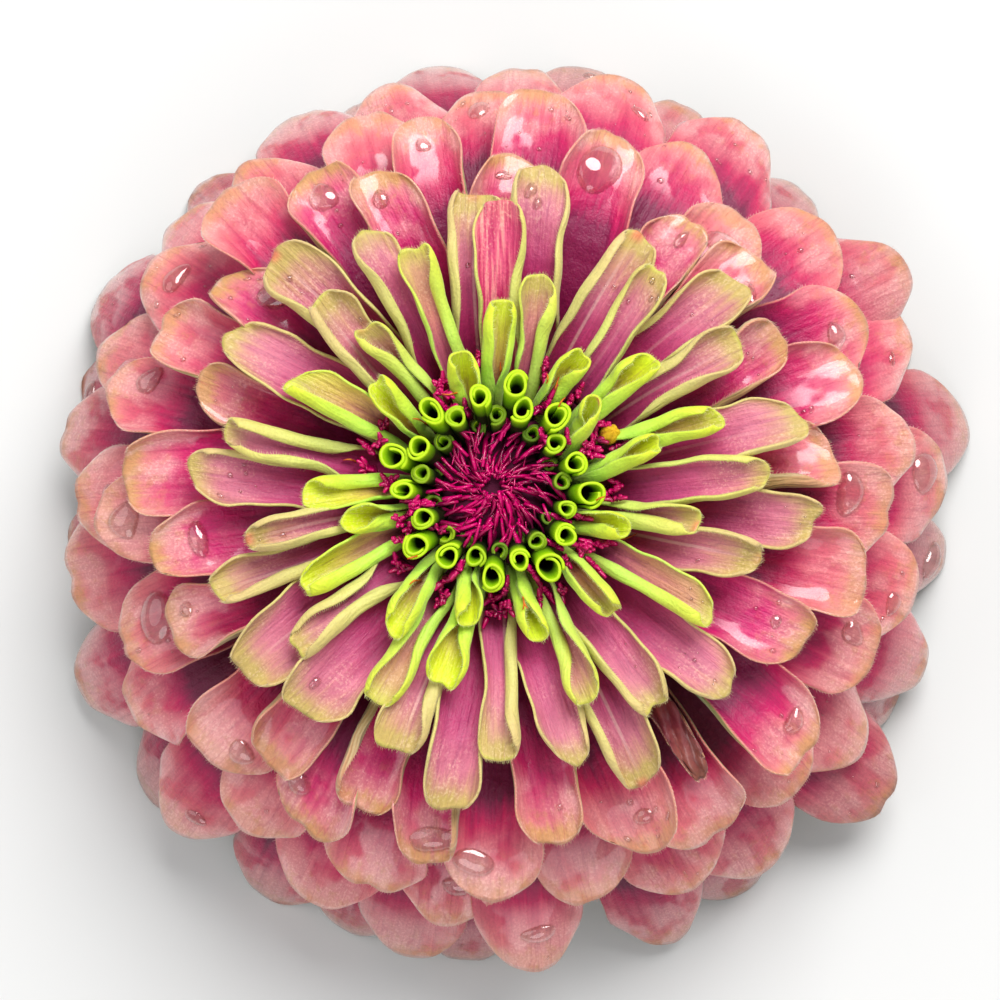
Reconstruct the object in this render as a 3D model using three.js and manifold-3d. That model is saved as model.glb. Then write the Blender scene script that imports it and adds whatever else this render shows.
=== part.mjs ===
// The head of a fully double zinnia, picked with a short stub of its stem, standing face up.
// Millimetres, +Z up, which is also the axis of the head. The head stands on the stem's cut end, and
// the origin is on the surface that it stands on, in the middle of the space it takes up.
// From the bottom: the cut stem, the green cup of scale-like bracts, the ray florets in one long
// golden-angle spiral from the oldest at the rim to the rolled young ones, and the crimson chaff.
import * as THREE from "three";
import { mergeVertices } from "three/addons/utils/BufferGeometryUtils.js";
import Module from "manifold-3d";

const wasm = await Module();
wasm.setup();

// Driving dimensions
const HEAD_RADIUS = 40; // widest reach of the ray florets from the axis
const HEAD_HEIGHT = 31; // cut end of the stem to the tops of the rolled florets
const STEM_RADIUS = 2.6;
const STEM_LENGTH = 3.6;
const BLADE_THICKNESS = 0.6;
const SEAT_GAP = 0.3; // between pieces that sit on each other
const SMALLEST_EDGE = 0.03;
const TIGHTEST_CURL = 0.6; // smallest radius to which a blade curls
const QUILL_SIDES = 6;

// The spiral of ray florets, numbered from the youngest at the middle
const QUILLS = 36; // florets 0 to 35 are still rolled up
const INNER_FLORETS = 90; // florets up to this one have green edges
const FLORETS = 168;
const GOLDEN_ANGLE = THREE.MathUtils.degToRad(137.508);
const FIRST_FLORET_ANGLE = THREE.MathUtils.degToRad(297);
const TIER_GAP = 1.1; // extra room between the quills, the green-edged and the pink florets

// How a floret stands at each stage of growth, by its number in the spiral.
// Radii and heights are shares of HEAD_RADIUS and HEAD_HEIGHT. rootRise and tipRise are the angle of
// the midrib above level, width is across the flattened blade in millimetres, and furl is the angle
// through which each edge has turned up, near the root and at the tip. Angles are in degrees.
const STAGES = [
  { floret: 0, rootR: 0.1, rootZ: 0.79, tipR: 0.116, tipZ: 0.93, rootRise: 86, tipRise: 80, width: 3.4, furlRoot: 190, furlTip: 190 },
  { floret: 20, rootR: 0.106, rootZ: 0.785, tipR: 0.16, tipZ: 0.975, rootRise: 82, tipRise: 72, width: 4.4, furlRoot: 190, furlTip: 185 },
  { floret: 35, rootR: 0.112, rootZ: 0.78, tipR: 0.21, tipZ: 0.99, rootRise: 78, tipRise: 60, width: 5.4, furlRoot: 170, furlTip: 170 },
  { floret: 36, rootR: 0.12, rootZ: 0.77, tipR: 0.262, tipZ: 1.0, rootRise: 74, tipRise: 52, width: 5.5, furlRoot: 160, furlTip: 130 },
  { floret: 48, rootR: 0.122, rootZ: 0.755, tipR: 0.38, tipZ: 1.0, rootRise: 65, tipRise: 26, width: 6.0, furlRoot: 110, furlTip: 80 },
  { floret: 60, rootR: 0.125, rootZ: 0.73, tipR: 0.51, tipZ: 0.99, rootRise: 56, tipRise: 8, width: 6.6, furlRoot: 80, furlTip: 50 },
  { floret: 75, rootR: 0.13, rootZ: 0.695, tipR: 0.59, tipZ: 0.945, rootRise: 47, tipRise: -2, width: 7.2, furlRoot: 60, furlTip: 32 },
  { floret: 90, rootR: 0.135, rootZ: 0.66, tipR: 0.665, tipZ: 0.885, rootRise: 38, tipRise: -12, width: 7.9, furlRoot: 45, furlTip: 22 },
  { floret: 118, rootR: 0.145, rootZ: 0.61, tipR: 0.8, tipZ: 0.735, rootRise: 27, tipRise: -28, width: 8.8, furlRoot: 38, furlTip: 15 },
  { floret: 145, rootR: 0.155, rootZ: 0.565, tipR: 0.915, tipZ: 0.45, rootRise: 16, tipRise: -48, width: 9.3, furlRoot: 34, furlTip: 10 },
  { floret: 168, rootR: 0.16, rootZ: 0.52, tipR: 0.98, tipZ: 0.078, rootRise: 4, tipRise: -66, width: 9.3, furlRoot: 30, furlTip: 8 },
];

const radians = THREE.MathUtils.degToRad;
const mix = THREE.MathUtils.lerp;

// A repeatable draw from 0 to 1 for item number i, one for each use.
function draw(i, use) {
  const wave = Math.sin(i * 12.9898 + use * 78.233) * 43758.5453;
  return wave - Math.floor(wave);
}

// The same draw, spread evenly to either side of zero.
function spread(i, use, most) {
  return (2 * draw(i, use) - 1) * most;
}

// The midrib of a floret at spiral number n: its stage, in millimetres, without any chance variation.
function stageAt(n) {
  const last = STAGES.length - 1;
  const after = Math.min(last, Math.max(1, STAGES.findIndex((stage) => stage.floret >= n)));
  const [young, old] = [STAGES[after - 1], STAGES[after]];
  const share = (n - young.floret) / (old.floret - young.floret);
  const stage = {};
  for (const key of Object.keys(young)) stage[key] = mix(young[key], old[key], share);
  stage.rootR *= HEAD_RADIUS;
  stage.tipR *= HEAD_RADIUS;
  stage.rootZ *= HEAD_HEIGHT;
  stage.tipZ *= HEAD_HEIGHT;
  // Each tier stands clear of the one above it, away from its midrib at the root.
  const tiersAbove = (n >= QUILLS) + (n >= INNER_FLORETS);
  const away = radians(stage.rootRise);
  stage.rootR += tiersAbove * TIER_GAP * Math.sin(away);
  stage.rootZ -= tiersAbove * TIER_GAP * Math.cos(away);
  stage.tipZ -= tiersAbove * TIER_GAP;
  return stage;
}

// The midrib as a cubic curve in the plane of radius and height.
function midribOf(stage) {
  const root = new THREE.Vector2(stage.rootR, stage.rootZ);
  const tip = new THREE.Vector2(stage.tipR, stage.tipZ);
  const reach = root.distanceTo(tip) * 0.38;
  const rise = radians(stage.rootRise);
  const fall = radians(stage.tipRise);
  const leaving = root.clone().add(new THREE.Vector2(Math.cos(rise), Math.sin(rise)).multiplyScalar(reach));
  const arriving = tip.clone().sub(new THREE.Vector2(Math.cos(fall), Math.sin(fall)).multiplyScalar(reach));
  return new THREE.CubicBezierCurve(root, leaving, arriving, tip);
}

// Half the width of a blade at share s of its length, as a share of its greatest half width:
// a narrow claw, widest at three quarters, with a blunt round end.
function outline(s) {
  const claw = mix(0.16, 1, Math.sin(Math.min(1, s / 0.72) * Math.PI * 0.5) ** 1.8);
  const end = Math.sqrt(Math.max(0, 1 - Math.max(0, (s - 0.74) / 0.272) ** 2.6));
  return claw * end;
}

// A point of a cross-section whose edges turn up through the angle furl, u running from -1 to 1.
// x is across and y is up, as shares of half the flattened width. power gathers the turn at the edges.
function furled(u, furl, power) {
  const steps = 6;
  let [x, y] = [0, 0];
  for (let i = 0; i < steps; i++) {
    const turn = radians(furl) * (Math.abs(u) * ((i + 0.5) / steps)) ** power;
    x += Math.cos(turn) / steps;
    y += Math.sin(turn) / steps;
  }
  return [u * x, Math.abs(u) * y];
}

// A closed blade of even thickness over the surface at(u, s), u across from -1 to 1 and s along
// from 0 to 1 by the given stops. It is split into strips across, which come together at the root,
// and both faces are split into the same triangles.
function blade(at, across, stops, thickness) {
  const step = 1e-3;
  const rows = stops.map((s, j) => {
    const strips = j === 0 ? 1 : across;
    return Array.from({ length: strips + 1 }, (_, i) => [(2 * i) / strips - 1, s]);
  });
  const positions = [];
  const starts = [];
  let count = 0;
  for (const row of rows) {
    starts.push(count);
    count += row.length;
  }
  for (const side of [1, -1])
    for (const [u, s] of rows.flat()) {
      const sideways = at(u + step, s).sub(at(u - step, s));
      const onwards = at(u, Math.min(1, s + step)).sub(at(u, Math.max(0, s - step)));
      const normal = sideways.cross(onwards).normalize();
      positions.push(...at(u, s).addScaledVector(normal, (side * thickness) / 2));
    }
  const face = [];
  const middle = Math.floor(across / 2);
  for (let i = 0; i < across; i++) face.push([i < middle ? 0 : 1, starts[1] + i + 1, starts[1] + i]);
  face.push([0, 1, starts[1] + middle]);
  for (let j = 1; j < rows.length - 1; j++)
    for (let i = 0; i < across; i++) {
      const [a, b] = [starts[j] + i, starts[j + 1] + i];
      face.push([a, a + 1, b + 1], [a, b + 1, b]);
    }
  const rim = [0, 1];
  for (let j = 1; j < rows.length; j++) rim.push(starts[j] + across);
  for (let i = across - 1; i >= 0; i--) rim.push(starts[rows.length - 1] + i);
  for (let j = rows.length - 2; j > 0; j--) rim.push(starts[j]);
  const triangles = [];
  for (const [a, b, c] of face) triangles.push(a, b, c, count + a, count + c, count + b);
  rim.forEach((a, k) => {
    const b = rim[(k + 1) % rim.length];
    triangles.push(a, count + b, b, a, count + a, count + b);
  });
  return solidFrom(new Float32Array(positions), new Uint32Array(triangles));
}

function solidFrom(vertProperties, triVerts) {
  return new wasm.Manifold(new wasm.Mesh({ numProp: 3, vertProperties, triVerts }));
}

// A closed three.js geometry as a solid that can be joined and cut.
function solidOf(geometry) {
  const bare = geometry.clone();
  bare.deleteAttribute("normal");
  bare.deleteAttribute("uv");
  const merged = mergeVertices(bare, 1e-4);
  return solidFrom(merged.attributes.position.array, new Uint32Array(merged.index.array));
}

// A solid of revolution about +Z, from [radius, height] points given upwards from the axis to the axis.
function turned(profile, sides) {
  const points = profile.map(([radius, height]) => new THREE.Vector2(radius, height));
  return solidOf(new THREE.LatheGeometry(points, sides).rotateX(Math.PI / 2));
}

// Heights of the shared midribs between the tiers, which no blade crosses.
function dividerBetween(last, first) {
  const [above, below] = [stageAt(last), stageAt(first)];
  const between = {};
  for (const key of Object.keys(above)) between[key] = mix(above[key], below[key], 0.5);
  const line = midribOf(between).getPoints(24);
  return (radius) => {
    const next = line.findIndex((point) => point.x > radius);
    if (next < 0) return line[line.length - 1].y;
    const [a, b] = [line[Math.max(0, next - 1)], line[Math.max(1, next)]];
    return a.y + ((b.y - a.y) * (radius - a.x)) / (b.x - a.x);
  };
}

// The surface of floret n, with its own small share of chance, kept between two dividers.
function floretSurface(n, floor, ceiling) {
  const stage = stageAt(n);
  const midrib = midribOf({
    ...stage,
    tipR: stage.tipR * (1 + spread(n, 1, 0.025)),
    tipZ: stage.tipZ + spread(n, 2, 0.35),
    tipRise: stage.tipRise + spread(n, 3, 6),
  });
  const angle = FIRST_FLORET_ANGLE - n * GOLDEN_ANGLE + radians(spread(n, 4, 2.5));
  const halfWidth = (stage.width / 2) * (1 + spread(n, 5, 0.07));
  const lean = spread(n, 6, 0.6);
  const power = mix(1.2, 1.9, Math.min(1, (n - QUILLS) / (INNER_FLORETS - QUILLS)));
  const clearance = SEAT_GAP / 2 + BLADE_THICKNESS / 2;
  const axisX = new THREE.Vector3(Math.cos(angle), Math.sin(angle), 0);
  const axisY = new THREE.Vector3(-Math.sin(angle), Math.cos(angle), 0);
  return (u, s) => {
    const on = midrib.getPoint(s);
    const along = midrib.getTangent(s);
    const half = halfWidth * outline(s);
    const tightest = THREE.MathUtils.radToDeg(half / TIGHTEST_CURL / power);
    const furl = Math.min(tightest, mix(stage.furlRoot, stage.furlTip, s) * (1 + spread(n, 7, 0.1)));
    const [across, up] = furled(u, furl, power);
    const radius = on.x - along.y * up * half;
    const sway = across * half + lean * s * s;
    const reach = Math.hypot(radius, sway);
    const slope = Math.hypot(1, along.y / Math.max(0.2, along.x));
    let height = on.y + along.x * up * half;
    if (ceiling) height = Math.min(height, ceiling(reach) - clearance * slope);
    if (floor) height = Math.max(height, floor(reach) + clearance * slope);
    return new THREE.Vector3()
      .addScaledVector(axisX, radius)
      .addScaledVector(axisY, sway)
      .setZ(Math.max(height, BLADE_THICKNESS / 2));
  };
}

// An open floret with its flattened blade.
function openFloret(n, across, stops, floor, ceiling) {
  return blade(floretSurface(n, floor, ceiling), across, stops, BLADE_THICKNESS);
}

// Parts that grow together, as one body: a hollow that joining them seals is filled.
function joined(parts) {
  const bodies = wasm.Manifold.union(parts).simplify(SMALLEST_EDGE).decompose();
  return bodies.reduce((most, body) => (body.volume() > most.volume() ? body : most));
}

// A young floret still rolled into a quill, with its open mouth at the top.
function quill(n) {
  const stage = stageAt(n);
  const midrib = midribOf(stage);
  const angle = FIRST_FLORET_ANGLE - n * GOLDEN_ANGLE + radians(spread(n, 4, 2.5));
  const mouth = (stage.width / (2 * Math.PI)) * 1.15;
  const bore = mouth - BLADE_THICKNESS * 0.85;
  const length = midrib.getLength();
  const boreDepth = 2.4;
  const profile = [
    [0, 0],
    [mouth * 0.55, 0],
    [mouth, length],
    [bore, length],
    [0, length - boreDepth],
  ];
  const [root, tip] = [midrib.getPoint(0), midrib.getPoint(1)];
  const rise = Math.atan2(tip.y - root.y, tip.x - root.x);
  return turned(profile, QUILL_SIDES)
    .rotate(0, 90 - THREE.MathUtils.radToDeg(rise), 0)
    .translate(root.x, 0, root.y)
    .rotate(0, 0, THREE.MathUtils.radToDeg(angle));
}

const firstQuill = stageAt(0);
const lastQuill = stageAt(QUILLS - 1);
const firstInner = stageAt(QUILLS);
const lastInner = stageAt(INNER_FLORETS - 1);
const firstOuter = stageAt(INNER_FLORETS);
const lastOuter = stageAt(FLORETS - 1);
const underInner = dividerBetween(INNER_FLORETS - 1, INNER_FLORETS);

// The heart of the head, cut level between the tiers, holds the roots of each tier.
const ROOT_DEPTH = 0.7; // how far the heart's side stands outside the roots
const heartTop = firstQuill.rootZ + 0.6;
const quillBase = (lastQuill.rootZ + firstInner.rootZ) / 2;
const innerBase = (lastInner.rootZ + firstOuter.rootZ) / 2;
const outerBase = lastOuter.rootZ - 1.2;

function heart(bottom, bottomRadius, top, topRadius) {
  const sides = 12;
  return turned([[0, bottom], [bottomRadius, bottom], [topRadius, top], [0, top]], sides);
}

function quillFlorets() {
  const parts = [
    heart(quillBase + SEAT_GAP / 2, lastQuill.rootR + ROOT_DEPTH, heartTop, firstQuill.rootR + 0.2),
  ];
  for (let n = 0; n < QUILLS; n++) parts.push(quill(n));
  return joined(parts);
}

// The room that the quills take up, and the green-edged florets are kept out of.
function quillRoom(gap) {
  const [foot, top] = [lastQuill.rootR + ROOT_DEPTH + gap, lastQuill.tipR + 1.2 + gap];
  const [bottom, height] = [quillBase - gap / 2, HEAD_HEIGHT + 4];
  return turned([[0, bottom], [foot, bottom], [top, lastQuill.tipZ], [top, height], [0, height]], 12);
}

function innerRayFlorets() {
  const stops = [0, 0.45, 0.86, 1];
  const room = quillRoom(SEAT_GAP);
  const parts = [
    heart(innerBase + SEAT_GAP / 2, lastInner.rootR + ROOT_DEPTH, quillBase - SEAT_GAP / 2, firstInner.rootR),
  ];
  for (let n = QUILLS; n < INNER_FLORETS; n++) {
    const across = n < 60 ? 5 : 3;
    parts.push(openFloret(n, across, stops, underInner, null).subtract(room));
  }
  return joined(parts);
}

function outerRayFlorets() {
  const stops = [0, 0.48, 0.87, 1];
  const parts = [
    heart(outerBase, lastOuter.rootR + ROOT_DEPTH, innerBase - SEAT_GAP / 2, firstOuter.rootR + ROOT_DEPTH),
  ];
  for (let n = INNER_FLORETS; n < FLORETS; n++) parts.push(openFloret(n, 3, stops, null, underInner));
  return joined(parts);
}

// The crimson tips of the chaff: a low mound of spikes that lean in along a spiral.
function chaff() {
  const spikes = 44;
  const moundRadius = firstQuill.rootR - 0.75;
  const base = heartTop + SEAT_GAP;
  const moundHeight = 1.4;
  const parts = [
    turned([[0, base], [moundRadius, base], [moundRadius * 0.8, base + moundHeight * 0.7], [0, base + moundHeight]], 12),
  ];
  for (let i = 0; i < spikes; i++) {
    const out = Math.sqrt((i + 0.5) / spikes);
    const angle = THREE.MathUtils.radToDeg(i * GOLDEN_ANGLE);
    const long = 2.4 + draw(i, 11) * 0.8;
    parts.push(
      solidOf(new THREE.ConeGeometry(0.36, long, 3).rotateX(Math.PI / 2))
        .translate(0, 0, long / 2)
        .rotate(28 * (1 - out) - 10, -34 * (1 - out) - 6, 0)
        .translate(moundRadius * 0.86 * out, 0, base + moundHeight * (1 - out * out) * 0.6 + 0.1)
        .rotate(0, 0, angle),
    );
  }
  return joined(parts);
}

// The green cup under the florets, with rows of rounded bracts lying over each other on it.
const CUP_BASE = STEM_LENGTH + SEAT_GAP;
const CUP_TOP = outerBase - SEAT_GAP;
const CUP_RADIUS = 8.4;
const BRACT_THICKNESS = 1.1; // sunk to half its depth in the cup

function cupRadiusAt(height) {
  const share = (height - CUP_BASE) / (CUP_TOP - CUP_BASE);
  return mix(STEM_RADIUS * 1.25, CUP_RADIUS, Math.sin(share * Math.PI * 0.5) ** 0.75);
}

function involucre() {
  const rings = 5;
  const profile = [[0, CUP_BASE]];
  for (let i = 0; i <= rings; i++) {
    const height = mix(CUP_BASE, CUP_TOP, i / rings);
    profile.push([cupRadiusAt(height), height]);
  }
  profile.push([0, CUP_TOP]);
  const parts = [turned(profile, 16)];
  const rows = [
    { count: 9, foot: 0.44, tip: 1.0, width: 4.8 },
    { count: 8, foot: 0.2, tip: 0.74, width: 4.4 },
    { count: 6, foot: 0.02, tip: 0.46, width: 3.8 },
  ];
  rows.forEach((row, rowNumber) => {
    for (let i = 0; i < row.count; i++) {
      const angle = ((i + rowNumber * 0.5) / row.count) * Math.PI * 2;
      const surface = (u, s) => {
        const height = mix(CUP_BASE, CUP_TOP, mix(row.foot, row.tip, s));
        const half = (row.width / 2) * Math.sqrt(Math.max(0.06, 1 - (Math.max(0, s - 0.35) / 0.66) ** 2));
        const radius = cupRadiusAt(height) + mix(-0.25, 0.2, s) - 0.15 * u * u;
        const turn = angle + (u * half) / Math.max(radius, half);
        return new THREE.Vector3(radius * Math.cos(turn), radius * Math.sin(turn), height);
      };
      parts.push(blade(surface, 2, [0, 0.6, 1], BRACT_THICKNESS));
    }
  });
  return joined(parts);
}

function stem() {
  return turned(
    [
      [0, 0],
      [STEM_RADIUS * 0.96, 0],
      [STEM_RADIUS, 0.25],
      [STEM_RADIUS, STEM_LENGTH * 0.6],
      [STEM_RADIUS * 1.2, STEM_LENGTH],
      [0, STEM_LENGTH],
    ],
    16,
  );
}

// A named mesh from a solid, with its faces kept flat.
function piece(name, solid, colour, roughness) {
  const { numProp, vertProperties, triVerts } = solid.getMesh();
  const geometry = new THREE.BufferGeometry();
  const corners = new Float32Array(triVerts.length * 3);
  triVerts.forEach((vertex, i) => {
    corners.set(vertProperties.subarray(vertex * numProp, vertex * numProp + 3), i * 3);
  });
  geometry.setAttribute("position", new THREE.BufferAttribute(corners, 3));
  geometry.computeVertexNormals();
  const material = new THREE.MeshStandardMaterial({ color: colour, roughness, metalness: 0 });
  const mesh = new THREE.Mesh(geometry, material);
  mesh.name = name;
  return mesh;
}

const flower = new THREE.Group();
flower.add(
  piece("stem", stem(), 0x6f8f3c, 0.7),
  piece("involucre", involucre(), 0x5d7a33, 0.7),
  piece("outer_ray_florets", outerRayFlorets(), 0xd9777f, 0.45),
  piece("inner_ray_florets", innerRayFlorets(), 0xb0607a, 0.5),
  piece("quill_florets", quillFlorets(), 0xb4e01c, 0.45),
  piece("chaff", chaff(), 0xa80a50, 0.35),
);

// The origin goes from the foot of the head's axis to the middle of the space it takes up.
const room = new THREE.Box3().setFromObject(flower);
const middle = room.getCenter(new THREE.Vector3());
for (const mesh of flower.children) mesh.geometry.translate(-middle.x, -middle.y, -room.min.z);

export default flower;
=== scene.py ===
import math
from types import SimpleNamespace

import bmesh
import bpy
import numpy as np
from mathutils import Matrix, Vector
from mathutils.bvhtree import BVHTree


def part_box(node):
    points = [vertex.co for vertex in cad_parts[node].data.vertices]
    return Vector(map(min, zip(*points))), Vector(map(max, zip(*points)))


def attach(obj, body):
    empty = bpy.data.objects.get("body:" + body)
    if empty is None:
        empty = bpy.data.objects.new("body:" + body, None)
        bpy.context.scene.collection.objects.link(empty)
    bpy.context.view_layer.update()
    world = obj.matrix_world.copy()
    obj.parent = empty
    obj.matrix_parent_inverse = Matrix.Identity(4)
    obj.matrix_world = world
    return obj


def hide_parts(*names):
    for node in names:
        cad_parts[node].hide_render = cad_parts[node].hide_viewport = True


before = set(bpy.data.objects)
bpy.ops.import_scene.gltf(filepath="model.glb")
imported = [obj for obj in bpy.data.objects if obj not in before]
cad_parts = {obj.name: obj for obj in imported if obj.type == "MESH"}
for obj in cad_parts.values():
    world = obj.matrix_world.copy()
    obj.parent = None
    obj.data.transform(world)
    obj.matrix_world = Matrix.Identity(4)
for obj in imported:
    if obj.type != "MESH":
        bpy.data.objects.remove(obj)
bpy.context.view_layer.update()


# Stem
# The short stub of stem that the head was picked with: a stout green stalk, faintly ribbed and downy,
# that swells a little where it meets the head. The knife leaves a flat end with a paler, moist pith.

MM = 0.001
foot_low, foot_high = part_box("stem")
AXIS = Vector(((foot_low.x + foot_high.x) / 2, (foot_low.y + foot_high.y) / 2, 0))


def chance(i, use):
    """A repeatable draw from 0 to 1 for item number i, one for each use."""
    wave = np.sin(i * 12.9898 + use * 78.233) * 43758.5453
    return wave - np.floor(wave)


def spread(i, use, most):
    """The same draw, spread evenly to either side of zero."""
    return (2 * chance(i, use) - 1) * most


def tint(red, green, blue):
    """A colour by its screen values from 0 to 255, as the shader takes it."""
    shares = (red / 255, green / 255, blue / 255)
    return tuple(((c + 0.055) / 1.055) ** 2.4 if c > 0.04 else c / 12.92 for c in shares) + (1,)


class Wire:
    """A value inside a material, which sums can be done on as on a number."""

    def __init__(self, tree, socket=None):
        self.tree = tree
        self.socket = socket

    def node(self, kind, settings=None, sockets=None, out=0):
        """A new node, by its kind, its settings and the values or wires of its sockets."""
        made = self.tree.nodes.new("ShaderNode" + kind)
        for name, value in (settings or {}).items():
            if name == "stops":
                stops = made.color_ramp.elements
                while len(stops) < len(value):
                    stops.new(1)
                for stop, (place, colour) in zip(stops, value):
                    stop.position, stop.color = place, colour
            else:
                setattr(made, name, value)
        for name, value in (sockets or {}).items():
            if isinstance(value, Wire):
                self.tree.links.new(value.socket, made.inputs[name])
            else:
                made.inputs[name].default_value = value
        return Wire(self.tree, made.outputs[out])

    def math(self, operation, *values):
        return self.node("Math", {"operation": operation}, dict(enumerate(values)))

    def __add__(self, other):
        return self.math("ADD", self, other)

    def __radd__(self, other):
        return self.math("ADD", other, self)

    def __sub__(self, other):
        return self.math("SUBTRACT", self, other)

    def __rsub__(self, other):
        return self.math("SUBTRACT", other, self)

    def __mul__(self, other):
        return self.math("MULTIPLY", self, other)

    def __rmul__(self, other):
        return self.math("MULTIPLY", other, self)

    def __abs__(self):
        return self.math("ABSOLUTE", self)

    def between(self, low, high):
        """How far the value has come from low to high, eased at both ends."""
        sockets = {0: self, 1: low, 2: high, 3: 0.0, 4: 1.0}
        return self.node("MapRange", {"interpolation_type": "SMOOTHSTEP"}, sockets)

    def ramp(self, *stops):
        """The colour at this value, between stops that each have a place and three screen values."""
        stops = [(place, tint(*colour)) for place, *colour in stops]
        return self.node("ValToRGB", {"stops": stops}, {0: self})

    def mixed(self, first, second):
        """The first colour where the value is 0 and the second where it is 1."""
        return self.node("Mix", {"data_type": "RGBA"}, {0: self, 6: first, 7: second}, out=2)

    def toned(self, colour, saturation=1.0):
        """A colour made lighter or darker by this value, which leaves it as it is at 1."""
        return self.node("HueSaturation", None, {"Saturation": saturation, "Value": self, "Color": colour})

    def mark(self, name):
        """A value that the mesh carries at each of its points."""
        return self.node("Attribute", {"attribute_name": name}, out="Fac")

    def noise(self, vector, scale, detail=2.0, roughness=0.5):
        sockets = {"Vector": vector, "Scale": scale, "Detail": detail, "Roughness": roughness}
        return self.node("TexNoise", None, sockets)

    def place(self, x, y, z):
        return self.node("CombineXYZ", None, {0: x, 1: y, 2: z})


def new_paint(name):
    """A material with an empty surface, and the wire that its nodes are made from."""
    material = bpy.data.materials.new(name)
    material.use_nodes = True
    material.node_tree.nodes.clear()
    return material, Wire(material.node_tree)


def finish_paint(wire, colour, bump=None, depth=0.1, **shader):
    """The surface of a material: its colour, its relief in millimetres and its other sockets."""
    sockets = {"Base Color": colour}
    for name, value in shader.items():
        sockets[name.replace("_", " ")] = value
    if bump is not None:
        sockets["Normal"] = wire.node("Bump", None, {"Strength": 1.0, "Distance": depth * MM, "Height": bump})
    surface = wire.node("BsdfPrincipled", None, sockets)
    output = wire.tree.nodes.new("ShaderNodeOutputMaterial")
    wire.tree.links.new(surface.socket, output.inputs["Surface"])


def deselect():
    if bpy.context.object and bpy.context.object.mode != "OBJECT":
        bpy.ops.object.mode_set(mode="OBJECT")
    bpy.ops.object.select_all(action="DESELECT")


def select_only(thing):
    deselect()
    thing.select_set(True)
    bpy.context.view_layer.objects.active = thing


def edit(thing):
    select_only(thing)
    bpy.ops.object.mode_set(mode="EDIT")
    bpy.ops.mesh.select_all(action="DESELECT")


def pick(thing, wanted):
    """Selects the points of the mesh in edit mode that pass the test."""
    bpy.ops.mesh.select_mode(type="VERT")
    bpy.ops.mesh.select_all(action="DESELECT")
    mesh = bmesh.from_edit_mesh(thing.data)
    for vert in mesh.verts:
        vert.select_set(wanted(vert.co))
    mesh.select_flush_mode()
    bmesh.update_edit_mesh(thing.data)


def apply_modifier(thing, kind, **settings):
    select_only(thing)
    modifier = thing.modifiers.new(kind, kind)
    for name, value in settings.items():
        setattr(modifier, name, value)
    bpy.ops.object.modifier_apply(modifier=modifier.name)


def settle(thing, name, *materials):
    """Names a piece, puts its place into its mesh and gives it its materials."""
    select_only(thing)
    bpy.ops.object.transform_apply(location=True, rotation=True, scale=True)
    thing.name = thing.data.name = name
    for material in materials:
        thing.data.materials.append(material)
    return thing


def merge(things):
    deselect()
    for thing in things:
        thing.select_set(True)
    bpy.context.view_layer.objects.active = things[0]
    bpy.ops.object.join()
    return things[0]


def raise_rings(rings):
    """Extrudes the selected loop up through rings of [height, radius], in millimetres."""
    for (low, narrow), (high, wide) in zip(rings, rings[1:]):
        bpy.ops.mesh.extrude_region_move(TRANSFORM_OT_translate={"value": (0, 0, (high - low) * MM)})
        middle = (AXIS.x, AXIS.y, high * MM)
        bpy.ops.transform.resize(value=(wide / narrow, wide / narrow, 1), center_override=middle)


STEM_RINGS = [[0, 2.45], [0.25, 2.58], [1.2, 2.55], [2.2, 2.62], [2.9, 2.85], [3.58, 3.1]]
deselect()
bpy.ops.mesh.primitive_circle_add(vertices=40, radius=STEM_RINGS[0][1] * MM, fill_type="NGON", location=AXIS)
stem = bpy.context.object
edit(stem)
bpy.ops.mesh.select_all(action="SELECT")
bpy.ops.mesh.normals_make_consistent(inside=False)
bpy.ops.mesh.inset(thickness=0.45 * MM)
bpy.ops.mesh.inset(thickness=0.5 * MM)
bpy.ops.transform.translate(value=(0, 0, 0.07 * MM))
bpy.ops.mesh.inset(thickness=0.5 * MM)
bpy.ops.mesh.poke()
pick(stem, lambda at: at.to_2d().length > 2.4 * MM)
raise_rings(STEM_RINGS)
bpy.ops.mesh.edge_face_add()
bpy.ops.mesh.select_all(action="SELECT")
bpy.ops.mesh.normals_make_consistent(inside=False)
bpy.ops.object.mode_set(mode="OBJECT")
apply_modifier(stem, "SUBSURF", levels=2, render_levels=2)
stem.data.shade_smooth()

stem_green, wire = new_paint("stem_green")
spot = wire.node("TexCoord", out="Object")
around = wire.noise(wire.node("Mapping", None, {"Vector": spot, "Scale": (1, 1, 0.15)}), 900.0, 4.0)
blotch = wire.noise(spot, 400.0)
green = (around * 0.7 + blotch * 0.3).ramp(
    (0.25, 70, 96, 38), (0.5, 112, 140, 62), (0.7, 150, 168, 92), (0.85, 150, 118, 92))
finish_paint(wire, green, around, 0.12, Roughness=0.6)
settle(stem, "stem_stub", stem_green)
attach(stem, "root")
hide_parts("stem")


# Involucre
# The green cup that the florets stand in. It is clad in rows of blunt, leathery bracts that lie over
# each other like tiles, each with a thin dark brown edge that is fringed with fine hairs.

cup_low, cup_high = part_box("involucre")
CUP_BASE, CUP_TOP = cup_low.z / MM + 0.1, cup_high.z / MM - 0.1
FOOT_RADIUS, CUP_RADIUS = 3.1, 8.4


def cup_radius(height):
    """The cup opens fast over the stem and is nearly upright at its top."""
    share = min(1, max(0, (height - CUP_BASE) / (CUP_TOP - CUP_BASE)))
    return FOOT_RADIUS + (CUP_RADIUS - FOOT_RADIUS) * math.sin(share * math.pi / 2) ** 0.75


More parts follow.
